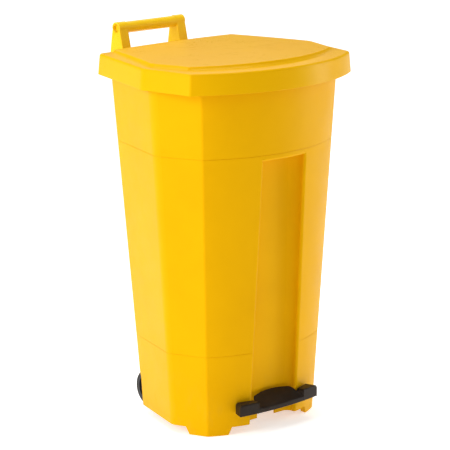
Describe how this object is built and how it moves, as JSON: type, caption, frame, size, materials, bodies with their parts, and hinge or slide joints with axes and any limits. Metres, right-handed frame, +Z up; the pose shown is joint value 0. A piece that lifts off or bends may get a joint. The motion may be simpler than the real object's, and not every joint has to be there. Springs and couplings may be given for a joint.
{
  "type": "wheeled pedal bin",
  "caption": "Tall tapering plastic bin with hinged lid opened by a foot pedal through a lever and push rod, a rear carrying handle and wheels at the back.",
  "frame": {"origin": "middle of the bin's overall plan, on the floor", "axes": "+Z up, -Y towards the pedal at the front, +X to the right as seen from the front"},
  "size_m": [0.5124, 0.496, 0.8457],
  "materials": {
    "yellow_body": "satin moulded polypropylene",
    "yellow_lid": "glossy moulded polypropylene",
    "yellow_handle": "satin moulded polypropylene",
    "black_pedal": "smooth moulded plastic",
    "zinc_plate": "zinc-plated sheet steel",
    "screw_steel": "zinc plated",
    "buffer_rubber": "soft rubber",
    "pin_steel": "drawn steel rod",
    "black_small": "nylon",
    "guide_plastic": "nylon",
    "lever_steel": "zinc-plated flat bar",
    "bush_plastic": "natural nylon",
    "hub_plastic": "moulded plastic",
    "tyre_rubber": "rubber",
    "axle_steel": "drawn steel rod"
  },
  "bodies": {
    "bin_body": {"body_tub": "yellow_body", "rear_handle": "yellow_handle", "handle_screws": "screw_steel", "hinge_pin": "pin_steel", "hinge_pin_caps": "black_small", "rod_guides": "guide_plastic", "guide_screws": "screw_steel", "pivot_bracket": "zinc_plate", "bracket_screws": "screw_steel", "pivot_pin": "pin_steel", "pivot_clip": "zinc_plate", "wheel_axle": "axle_steel", "axle_washers": "black_small", "axle_caps": "black_small"},
    "lid": {"lid_shell": "yellow_lid", "lid_crank": "zinc_plate", "crank_screws": "screw_steel", "lid_buffers": "buffer_rubber"},
    "lever": {"pedal_lever": "lever_steel", "lever_bushes": "bush_plastic", "pedal": "black_pedal", "pedal_screws": "screw_steel"},
    "rod": {"push_rod": "pin_steel", "rod_tip": "black_small", "rod_clevis": "zinc_plate", "rod_lock_nut": "screw_steel", "clevis_pin": "pin_steel", "clevis_clip": "zinc_plate"},
    "wheel_left": {"wheel_hub_left": "hub_plastic", "tyre_left": "tyre_rubber"},
    "wheel_right": {"wheel_hub_right": "hub_plastic", "tyre_right": "tyre_rubber"}
  },
  "joints": [
    {"name": "lid_hinge", "type": "hinge", "parent": "bin_body", "child": "lid", "pos_m": [0, 0.17495, 0.768], "axis": [-1, 0, 0], "range_deg": [0, 75]},
    {"name": "pedal_pivot", "type": "hinge", "parent": "bin_body", "child": "lever", "pos_m": [0, -0.05905, 0.066], "axis": [1, 0, 0], "range_deg": [0, 9]},
    {"name": "rod_pivot", "type": "hinge", "parent": "lever", "child": "rod", "pos_m": [0, 0.10522, 0.06452], "axis": [1, 0, 0], "range_deg": [-9.5, 0]},
    {"name": "wheel_left_spin", "type": "hinge", "parent": "bin_body", "child": "wheel_left", "pos_m": [-0.098, 0.10695, 0.0425], "axis": [1, 0, 0], "continuous": true},
    {"name": "wheel_right_spin", "type": "hinge", "parent": "bin_body", "child": "wheel_right", "pos_m": [0.098, 0.10695, 0.0425], "axis": [1, 0, 0], "continuous": true}
  ],
  "couplings": [
    {"joint": "pedal_pivot", "follows": "lid_hinge", "ratio": 0.11867},
    {"joint": "rod_pivot", "follows": "lid_hinge", "ratio": -0.124}
  ]
}
